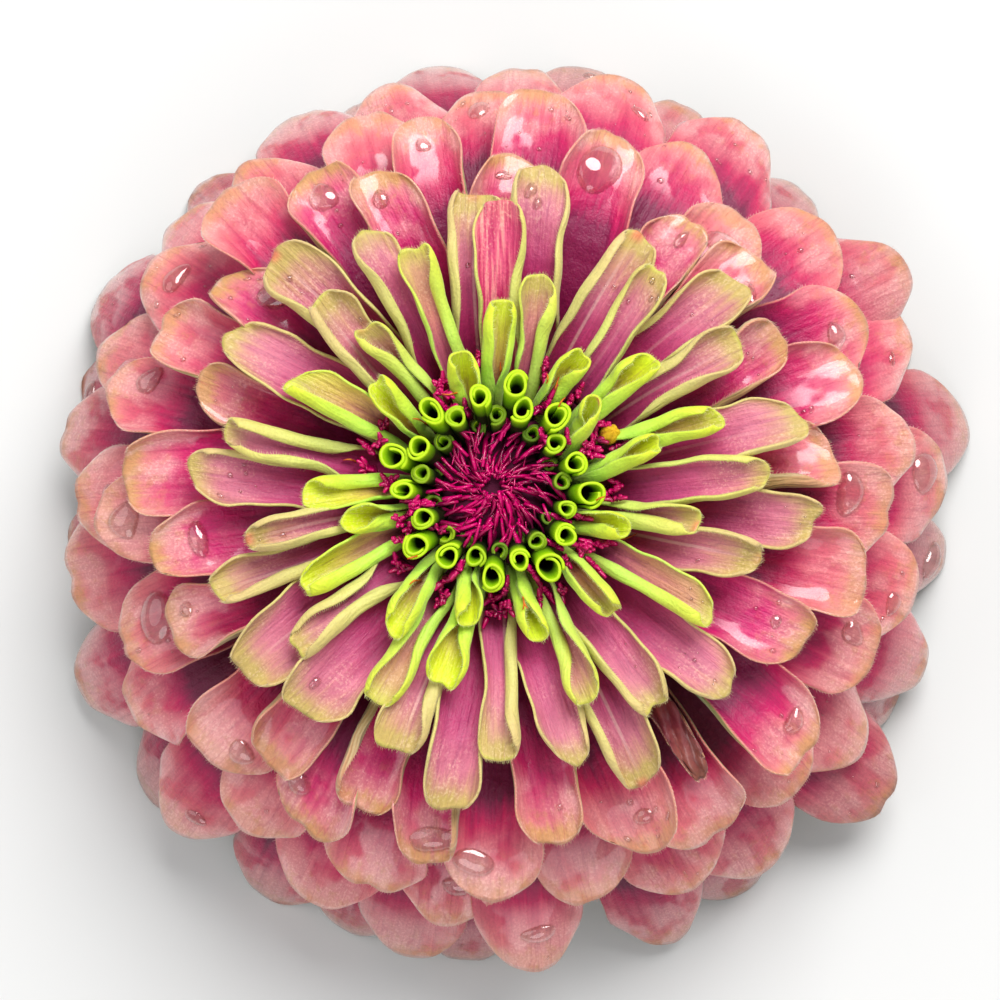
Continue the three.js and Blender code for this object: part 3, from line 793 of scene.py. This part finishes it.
QUILL_WALL = 0.22
sheet, u, t = flat_sheet(34, 14)
sheet.data.materials.append(quill_throat)
sheet.data.materials.append(quill_lime)
t = 1 - (1 - t) ** 1.3
quills = []
for n in range(QUILLS):
    stage = stage_at(n)
    sunk = 0.1 + (1.7 * ease(n, 20, 0) + spread(n, 22, 0.5))
    root = np.array([stage["root_r"], stage["root_z"] + 0.2])
    tip = np.array([stage["tip_r"], stage["tip_z"] - sunk])
    long = np.linalg.norm(tip - root)
    to = (tip - root) / long
    mouth = stage["width"] / (2 * math.pi) * (0.72 + 0.1 * n / QUILLS) * (1 + spread(n, 5, 0.14))
    around = u * math.pi * (1.5 + spread(n, 23, 0.24)) + spread(n, 20, 3.1)
    flare = 0.62 + 0.38 * ease(t, 0.0, 0.7) + (0.17 + spread(n, 24, 0.08)) * ease(t, 0.8, 1)
    wall = mouth * flare * (1 - 0.27 * u) * (1 + 0.05 * np.sin(3 * around + n))
    squeeze = 1 + spread(n, 25, 0.1)
    lip = (0.05 + 0.45 * n / QUILLS + spread(n, 21, 0.15)) * np.cos(around) - 0.22 * np.abs(u) ** 3
    rise = t * (long + lip * ease(t, 0.5, 1))
    across, out = wall * squeeze * np.sin(around), wall / squeeze * np.cos(around)
    radius = root[0] + to[0] * rise + to[1] * out
    height = root[1] + to[1] * rise - to[0] * out
    quills.append(laid_copy(
        sheet, np.stack([*in_plan(n, radius, across), height], 1), across=u * math.pi * mouth,
        distance=t * long, show=t, margin=(1 - t) * long, age=n / QUILLS, chance=chance(n, 14)))
bpy.data.objects.remove(sheet)
quills = merge(quills)
apply_modifier(
    quills, "SOLIDIFY", thickness=QUILL_WALL * MM, offset=0, material_offset=1, material_offset_rim=1)
quill_core = heart(
    quill_base + 0.15, last_quill["root_r"] + 0.7, first_quill["root_z"] + 0.55, first_quill["root_r"] + 0.2,
    quill_throat)
quills = merge([quills, quill_core])
settle(quills, "quill_tubes")
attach(quills, "root")
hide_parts("quill_florets")


# Chaff
# The crimson tips of the papery scales that stand between the florets: glossy, toothed strands that
# lean in over the middle of the disc in a whorl, with tufts of them among the quills.

STRAND_STEPS = 7
deselect()
bpy.ops.mesh.primitive_cone_add(
    vertices=4, radius1=1, radius2=0.4, depth=2, location=(0, 0, 0), end_fill_type="NGON")
strand = bpy.context.object
edit(strand)
for step in range(1, STRAND_STEPS):
    bpy.ops.mesh.select_all(action="SELECT")
    bpy.ops.mesh.bisect(plane_co=(0, 0, -1 + 2 * step / STRAND_STEPS), plane_no=(0, 0, 1))
bpy.ops.object.mode_set(mode="OBJECT")
strand.data.shade_smooth()
strand_shape = coordinates(strand)
strand_t = (strand_shape[:, 2] + 1) / 2


def lay_strand(foot, bend, tip, half_width, half_depth, number, shade=0.0):
    """A copy of the strand along a curve through three points, marked from its foot to its tip, which the
    chaff colours with painted shade, dark at its foot.
    """
    t = strand_t[:, None]
    on = foot * (1 - t) ** 2 + 2 * bend * t * (1 - t) + tip * t**2
    to = unit((bend - foot) * (1 - t) + (tip - bend) * t)
    lean = unit(np.cross(to, tip - foot + np.array([0.01, 0.02, 0.3])))
    thick = np.cross(to, lean)
    points = on + lean * strand_shape[:, :1] * half_width + thick * strand_shape[:, 1:2] * half_depth
    return laid_copy(strand, points, along=shade + (1 - shade) * strand_t, chance=chance(number, 30))


core_top = first_quill["root_z"] + 0.85
up = np.array([0, 0, 1.0])
middle = np.array([AXIS.x / MM, AXIS.y / MM, 0])


def spokes(angle):
    """The ways outward and onward round the head at an angle."""
    return np.array([math.cos(angle), math.sin(angle), 0]), np.array([-math.sin(angle), math.cos(angle), 0])


# The strands of the whorl, each with a tooth on its side.
WHORL, WHORL_RADIUS = 140, 6.9
strands = []
for i in range(WHORL):
    share = math.sqrt((i + 0.5) / WHORL)
    turn = i * math.radians(GOLDEN_ANGLE)
    outward, onward = spokes(turn)
    inward = spokes(turn + 0.28 + spread(i, 32, 0.3))[0]
    ring = share * WHORL_RADIUS
    end_ring = max(ring - 2.4 - 1.1 * chance(i, 31), 0.5 + 0.7 * chance(i, 33))
    foot = middle + outward * ring + up * (core_top + 0.8 + 0.5 * math.cos(share * 4.4) + share**3)
    tip = middle + inward * end_ring + up * (foot[2] + 1.3 + spread(i, 34, 0.5))
    bend = foot * 0.6 + tip * 0.4 + up * (1.1 + spread(i, 36, 0.3)) + onward * (0.3 + spread(i, 43, 0.5))
    strands.append(lay_strand(foot, bend, tip, 0.29 + spread(i, 28, 0.09), 0.12, i))
    start = foot * 0.1 + bend * 0.4 + tip * 0.5
    side = (tip - bend) * 0.4 + onward * spread(i, 35, 0.8) + up * 0.3
    strands.append(lay_strand(start, start + side * 0.4, start + side, 0.11, 0.06, i + 300))

# The fringed tufts, tried at this many places in a ring. They reach this height in millimetres, and come up
# only where the florets leave a gap at least this deep.
TUFTS, TUFT_RADIUS, TUFT_TOP, TUFT_GAP, TEETH = 520, (5.6, 10.6), 28.7, 0.7, 6
trees = [BVHTree.FromObject(thing, bpy.context.evaluated_depsgraph_get()) for thing in (quills, inner, outer)]


def top_at(x, y):
    """The point of the florets that is highest at a place in plan."""
    hits = [tree.ray_cast(Vector((x * MM, y * MM, 0.05)), Vector((0, 0, -1)))[0] for tree in trees]
    return np.array([x, y, max(hit.z for hit in hits if hit) / MM])


for i in range(TUFTS):
    outward, onward = spokes(i * math.radians(GOLDEN_ANGLE) + spread(i, 39, 0.2))
    ring = TUFT_RADIUS[0] + (TUFT_RADIUS[1] - TUFT_RADIUS[0]) * i / TUFTS
    tip = middle + outward * ring + up * (TUFT_TOP + spread(i, 37, 0.8) - 0.12 * (ring - 5))
    swing = spread(i, 38, 1.4)
    fanned = onward * math.cos(swing) + outward * math.sin(swing)
    around = (tip, tip + fanned * 0.4, tip - fanned * 0.4)
    if min(at[2] - top_at(at[0], at[1])[2] for at in around) < TUFT_GAP:
        continue
    foot = tip - up * 2.8 - outward * 0.7
    strands.append(lay_strand(foot, (foot + tip) / 2, tip, 0.6, 0.1, i + 600, 0.2))
    for tooth in range(TEETH):
        fan = 2 * tooth / (TEETH - 1) - 1 + spread(i, 42 + tooth, 0.15)
        start = tip + fanned * fan * 0.25 - up * 0.3
        way = fanned * fan * 0.7 + up * 0.3 + outward * spread(i, 49 + tooth, 0.9)
        end = start + way * (0.75 + spread(i, 55 + tooth, 0.25))
        strands.append(lay_strand(start, (start + end) / 2 + up * 0.2, end, 0.3, 0.07, i + 900, 0.5))
chaff = merge(strands)
apply_modifier(chaff, "TRIANGULATE")


def ball(segments, rings):
    """A ball with a radius of 1 at the origin."""
    deselect()
    bpy.ops.mesh.primitive_uv_sphere_add(segments=segments, ring_count=rings, radius=1, location=(0, 0, 0))
    return bpy.context.object


MOUND_RADIUS, MOUND_HEIGHT = 4.4, 1.7
mound = ball(32, 12)
edit(mound)
bpy.ops.mesh.select_all(action="SELECT")
bpy.ops.mesh.bisect(plane_co=(0, 0, 0), plane_no=(0, 0, 1), clear_inner=True, use_fill=True)
bpy.ops.object.mode_set(mode="OBJECT")
mound.scale = (MOUND_RADIUS * MM, MOUND_RADIUS * MM, MOUND_HEIGHT * MM)
mound.location = (AXIS.x, AXIS.y, core_top * MM)
settle(mound, "mound")
chaff = merge([chaff, mound])
chaff.data.shade_smooth()

chaff_crimson, wire = new_paint("chaff_crimson")
along = wire.mark("along")
spot = wire.node("TexCoord", out="Object")
# Painted shade: the crimson darkens from each strand's tip to its foot and is darkest on the mound beneath,
# which carries no mark, where the strands crowd. The deep crimson itself is the scales' own colour.
crimson = (along + (wire.mark("chance") - 0.5) * 0.7).ramp(
    (0.0, 84, 0, 46), (0.3, 120, 0, 58), (0.6, 182, 0, 84), (0.95, 216, 4, 108))
dull, glossy = (0.9, 0.9, 0.9, 1), (0.17, 0.17, 0.17, 1)
gloss = wire.node("ValToRGB", {"stops": [(0.2, dull), (0.5, glossy)]}, {0: along * 1.2})
finish_paint(wire, crimson, wire.noise(spot, 2500.0, 3.0), 0.06, Roughness=gloss)
settle(chaff, "chaff_whorl", chaff_crimson)
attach(chaff, "root")
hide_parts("chaff")


# Styles
# A few florets have put out the forked orange style that catches pollen. Each comes up from the foot of
# its floret and lies on the blades beside it, with its two arms curling apart.

PHOTO_MIDDLE, PHOTO_MM = (497, 490), 0.0865


def from_photo(across, down):
    """The place in plan, in millimetres, of a pixel of the photograph."""
    x = AXIS.x / MM + (across - PHOTO_MIDDLE[0]) * PHOTO_MM
    return x, AXIS.y / MM + (PHOTO_MIDDLE[1] - down) * PHOTO_MM


# The pixels of the photograph where each style comes out and ends, and how many arms it shows.
STYLES = [
    [(464, 404), (452, 408), 1], [(502, 388), (503, 377), 1], [(552, 407), (556, 393), 1],
    [(546, 397), (548, 390), 1], [(557, 420), (561, 412), 1], [(591, 506), (598, 503), 1],
    [(586, 538), (621, 541), 2], [(432, 431), (424, 428), 1], [(368, 465), (358, 463), 1],
    [(428, 557), (420, 560), 1], [(428, 578), (421, 582), 1], [(524, 594), (526, 604), 2],
]
styles = []
for i, (foot_pixel, tip_pixel, arms) in enumerate(STYLES):
    foot, tip = top_at(*from_photo(*foot_pixel)), top_at(*from_photo(*tip_pixel))
    reach = (tip - foot) * np.array([1, 1, 0])
    lift = up * (max(foot[2], tip[2]) + 0.3)
    foot, fork = foot - up * 0.9 - reach * 0.4, foot * np.array([1, 1, 0]) + reach * 0.45 + lift
    styles.append(lay_strand(foot, foot * 0.4 + fork * 0.6 + up * 0.3, fork, 0.11, 0.11, i + 1200))
    for arm in range(arms):
        side = np.cross(up, reach) * (0.24 * (arm * 2 - 1) if arms == 2 else spread(i, 90, 0.3))
        end = fork + reach * 0.75 + side + up * (0.1 + 0.2 * arm)
        bend = fork + reach * 0.4 + up * 0.12
        styles.append(lay_strand(fork - reach * 0.05, bend, end, 0.1, 0.1, i + 1250 + arm))
bpy.data.objects.remove(strand)
styles = merge(styles)
styles.data.shade_smooth()

style_orange, wire = new_paint("style_orange")
along = wire.mark("along")
spot = wire.node("TexCoord", out="Object")
fuzz = wire.noise(spot, 4000.0, 3.0)
orange = (along + (fuzz - 0.5) * 0.4).ramp((0.0, 196, 120, 30), (0.5, 232, 120, 12), (1.0, 206, 66, 20))
finish_paint(wire, orange, fuzz, 0.05, Roughness=0.5)
settle(styles, "styles", style_orange)
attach(styles, "root")


# Disc floret
# One small tubular floret of the disc has opened among the rays: a stubby, five-lobed yellow tube, thick
# with pollen at its closed top, on an olive base.

# The pixel of the photograph that it stands at, its radius and the height of its widest part, and how far
# it leans for each millimetre up.
DISC_FLORET, DISC_RADIUS, DISC_HEIGHT, DISC_LEAN = (607, 441), 0.72, 27.6, (0.42, 0.2)
disc_x, disc_y = from_photo(*DISC_FLORET)
bud = ball(30, 16)
edit(bud)
pick(bud, lambda at: at.z < 0)
bpy.ops.transform.resize(value=(0.72, 0.72, 1.5), center_override=(0, 0, 0))
bpy.ops.object.mode_set(mode="OBJECT")
points = coordinates(bud)
ridges = np.abs(np.cos(2.5 * np.arctan2(points[:, 1], points[:, 0])))
lobes = 1 + 0.2 * ridges * ease(points[:, 2], -0.4, 0.5) * ease(points[:, 2], 1.0, 0.8)
points[:, :2] *= (lobes * DISC_RADIUS)[:, None]
points[:, 2] *= 1.3 * (1 - 0.12 * (1 - ridges) * ease(points[:, 2], 0.2, 0.9))
points[:, :2] += np.array(DISC_LEAN) * (points[:, 2:] - 1)
standing = points + np.array([disc_x, disc_y, DISC_HEIGHT])
disc = laid_copy(bud, standing, along=(points[:, 2] + 2) / 3.3, ridge=ridges)
bpy.data.objects.remove(bud)
disc.data.shade_smooth()

disc_yellow, wire = new_paint("disc_yellow")
along = wire.mark("along")
spot = wire.node("TexCoord", out="Object")
pollen = wire.noise(spot, 3500.0, 4.0, 0.7)
yellow = (along + (pollen - 0.5) * 0.5 + (wire.mark("ridge") - 0.6) * 0.24).ramp(
    (0.1, 40, 44, 22), (0.4, 112, 92, 28), (0.62, 200, 112, 10), (0.88, 246, 192, 24))
finish_paint(wire, yellow, pollen, 0.25, Roughness=0.7)
settle(disc, "disc_floret", disc_yellow)
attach(disc, "root")


# Waterdrops
# Rain has left lenses of water in the hollows of the broad florets, and beads of all sizes near their tips.
# Each is held to its blade by its own skin of water and is flattened by its weight.

# The floret that each of the larger drops in the photograph lies on, how far it is from the middle of the
# blade as a share of its half width, then its distance from the tip, half width, half length and height in
# millimetres.
DROPS = [
    [109, 0.1, 3.4, 1.9, 2.3, 0.85], [96, -0.1, 1.7, 0.5, 0.8, 0.45], [88, 0.25, 2.0, 0.55, 0.7, 0.4],
    [88, 0.05, 3.0, 0.4, 0.55, 0.35], [93, 0.2, 2.2, 0.7, 0.8, 0.4], [106, 0.0, 2.4, 1.2, 1.3, 0.5],
    [105, 0.1, 1.9, 2.3, 1.0, 0.5], [79, -0.2, 2.4, 0.4, 0.6, 0.3],
]
# The youngest florets with a drop and with beads, and the one from which drops are rarer.
FIRST_WET, FIRST_BEADED, DRIER = 94, 58, 140
drop = ball(24, 12)
droplet = ball(8, 5)


def lay_drop(bead, n, aside, from_tip, wide, long, high):
    """A copy of a bead on floret n, its underside following the blade."""
    bead.data.shade_smooth()
    round_bead = coordinates(bead)
    length = floret_at(n, np.array([0.0]), np.array([1.0]))[1]["distance"][0]
    t = 1 - from_tip / length
    half = abs(floret_at(n, np.array([1.0]), np.array([t]))[1]["across"][0])
    turn = np.arctan2(round_bead[:, 1], round_bead[:, 0])
    uneven = 1 + 0.09 * np.sin(2 * turn + 6 * chance(n, 91)) + 0.05 * np.sin(3 * turn + 6 * chance(n, 92))
    u = np.clip(aside - round_bead[:, 0] * uneven * wide / half, -0.97, 0.97)
    t = np.clip(t + round_bead[:, 1] * uneven * long / length, 0, 0.995)
    on = floret_at(n, u, t)[0]
    along = floret_at(n, u, t + 0.004)[0] - on
    sideways = floret_at(n, u + 0.02, t)[0] - on
    out = unit(np.cross(along, sideways))
    level = round_bead[:, 2]
    lift = 0.07 + np.where(level > 0, np.abs(level) ** 1.3 * high, level * 0.06)
    return laid_copy(bead, on + out * lift[:, None])


drops = [lay_drop(drop, *row) for row in DROPS]
named = [row[0] for row in DROPS] + [WITHERED]
for n in range(FIRST_WET, LAST_FLORET + 1):
    if chance(n, 80) < (0.5 if n < DRIER else 0.3) and n not in named:
        wide = 0.6 + 1.5 * chance(n, 81) ** 1.6
        aside, from_tip = spread(n, 82, 0.45), wide + 1.0 + 1.6 * chance(n, 83)
        long, high = wide * (0.75 + spread(n, 84, 0.2)), wide * (0.4 + spread(n, 85, 0.08))
        drops.append(lay_drop(drop, n, aside, from_tip, wide, long, high))
for n in range(FIRST_BEADED, LAST_FLORET + 1):
    for k in range(int(9 * chance(n, 86) ** 3)):
        bead = n + 200 * k
        size = 0.1 + 0.22 * chance(bead, 87) ** 2
        aside, from_tip = spread(bead, 88, 0.75), 0.8 + 5 * chance(bead, 89)
        drops.append(lay_drop(droplet, n, aside, from_tip, size, size * 1.1, size * 0.7))
bpy.data.objects.remove(drop)
bpy.data.objects.remove(droplet)
drops = merge(drops)

water_clear, wire = new_paint("water_clear")
skin = wire.noise(wire.node("TexCoord", out="Object"), 900.0, 2.0)
finish_paint(
    wire, tint(255, 238, 232), skin, 0.01, Roughness=0.02, IOR=1.333, Transmission_Weight=1.0,
    Coat_Weight=1.0, Coat_IOR=2.0, Coat_Roughness=0.02, Alpha=0.78)
settle(drops, "waterdrops", water_clear)
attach(drops, "root")


# Edge down
# Short pale hairs stand out all round the free edge of every ray floret, and give it its downy outline.

# How many hairs a floret has, their length and width, and the share of them on each half of its tip.
HAIRS, HAIR_LENGTH, HAIR_WIDTH, TIP_HAIRS = 110, 0.32, 0.024, 0.15
deselect()
bpy.ops.mesh.primitive_cone_add(
    vertices=3, radius1=1, radius2=0, depth=1, location=(0, 0, 0), end_fill_type="NGON")
hair = bpy.context.object
apply_modifier(
    hair, "ARRAY", count=HAIRS, use_relative_offset=False, use_constant_offset=True,
    constant_offset_displace=(3, 0, 0))
comb = coordinates(hair)
number = np.round(comb[:, 0] / 3).astype(int)
comb[:, 0] -= 3 * number
comb[:, 2] += 0.5
round_tip = (np.arange(HAIRS) + 0.5) / HAIRS - 0.5
hair_u = np.clip(round_tip / TIP_HAIRS, -1, 1)
hair_t = 1 - 0.5 * np.clip((np.abs(round_tip) - TIP_HAIRS) / (0.5 - TIP_HAIRS), 0, 1)

hairs = []
for n in range(QUILLS, LAST_FLORET + 1):
    edge = floret_at(n, hair_u, hair_t)[0]
    inward = floret_at(n, hair_u * 0.95, hair_t - 0.012)[0]
    outward, onward = unit(edge - inward), unit(np.gradient(edge, axis=0))
    across = unit(np.cross(outward, onward))
    lean = (chance(np.arange(HAIRS), n) - 0.5) * 0.9
    rise = (chance(np.arange(HAIRS), n + 300) - 0.5) * 0.7
    length = HAIR_LENGTH * (0.6 + 0.6 * chance(np.arange(HAIRS), n + 600))
    growth = unit(outward + onward * lean[:, None] + across * rise[:, None]) * length[:, None]
    girth = onward[number] * comb[:, :1] + across[number] * comb[:, 1:2]
    points = edge[number] + girth * HAIR_WIDTH + growth[number] * comb[:, 2:]
    points[:, 2] = np.maximum(points[:, 2], 0.02)
    hairs.append(laid_copy(hair, points, age=n / FLORETS))
bpy.data.objects.remove(hair)
hairs = merge(hairs)

down_pale, wire = new_paint("down_pale")
age = wire.mark("age")
pale = age.ramp((0.25, 226, 236, 150), (0.5, 232, 206, 160), (0.8, 240, 196, 186))
finish_paint(wire, pale, Roughness=0.6)
settle(hairs, "edge_down", down_pale)
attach(hairs, "root")


# Floor, light and camera
# A plain pale table, a broad soft light from the top of the picture with a weaker fill, and the
# camera a little to the lower right of straight above, as in the photograph.

FLOOR_WIDTH = 3
floor_paint, wire = new_paint("floor_pale")
finish_paint(wire, tint(226, 226, 224), Roughness=0.8)
deselect()
bpy.ops.mesh.primitive_plane_add(size=FLOOR_WIDTH, location=(0, 0, 0))
floor = settle(bpy.context.object, "floor", floor_paint)

world = bpy.data.worlds.new("soft_room")
world.use_nodes = True
sky = world.node_tree.nodes["Background"].inputs
sky["Color"].default_value = (0.95, 0.96, 1.0, 1)
sky["Strength"].default_value = 0.36
bpy.context.scene.world = world

# Each lamp's place and width in metres and its power in watts.
for name, place, width, power in (
    ("key", (0.16, 0.34, 0.50), 0.462, 4.3),
    ("fill", (-0.42, 0.05, 0.42), 0.55, 0.7),
    ("low", (0.0, -0.45, 0.38), 0.44, 0.75),
):
    light = bpy.data.lights.new(name, "AREA")
    light.shape, light.size, light.energy = "DISK", width, power
    lamp = bpy.data.objects.new(name, light)
    bpy.context.collection.objects.link(lamp)
    lamp.location = place
    lamp.rotation_euler = (Vector((0, 0, 0.02)) - lamp.location).to_track_quat("-Z", "Y").to_euler()

# How far the camera leans from straight above and to which side, in degrees, its distance in metres, and
# half the angle that it sees.
CAMERA_TILT, CAMERA_SIDE, CAMERA_DISTANCE, HALF_VIEW = 5.4, -67.0, 0.42, 5.6
aim = Vector((-0.00086, 0.0, 0.016))
tilt, side = math.radians(CAMERA_TILT), math.radians(CAMERA_SIDE)
back = Vector((math.sin(tilt) * math.cos(side), math.sin(tilt) * math.sin(side), math.cos(tilt)))
right = Vector((0, 1, 0)).cross(back).normalized()
above = back.cross(right)
lens = bpy.data.cameras.new("camera")
lens.sensor_width = 36
lens.lens = lens.sensor_width / 2 / math.tan(math.radians(HALF_VIEW))
camera = bpy.data.objects.new("camera", lens)
facing = Matrix((right, above, back)).transposed().to_4x4()
camera.matrix_world = Matrix.Translation(aim + back * CAMERA_DISTANCE) @ facing
bpy.context.collection.objects.link(camera)
bpy.context.scene.camera = camera
bpy.context.scene.view_settings.view_transform = "Standard"
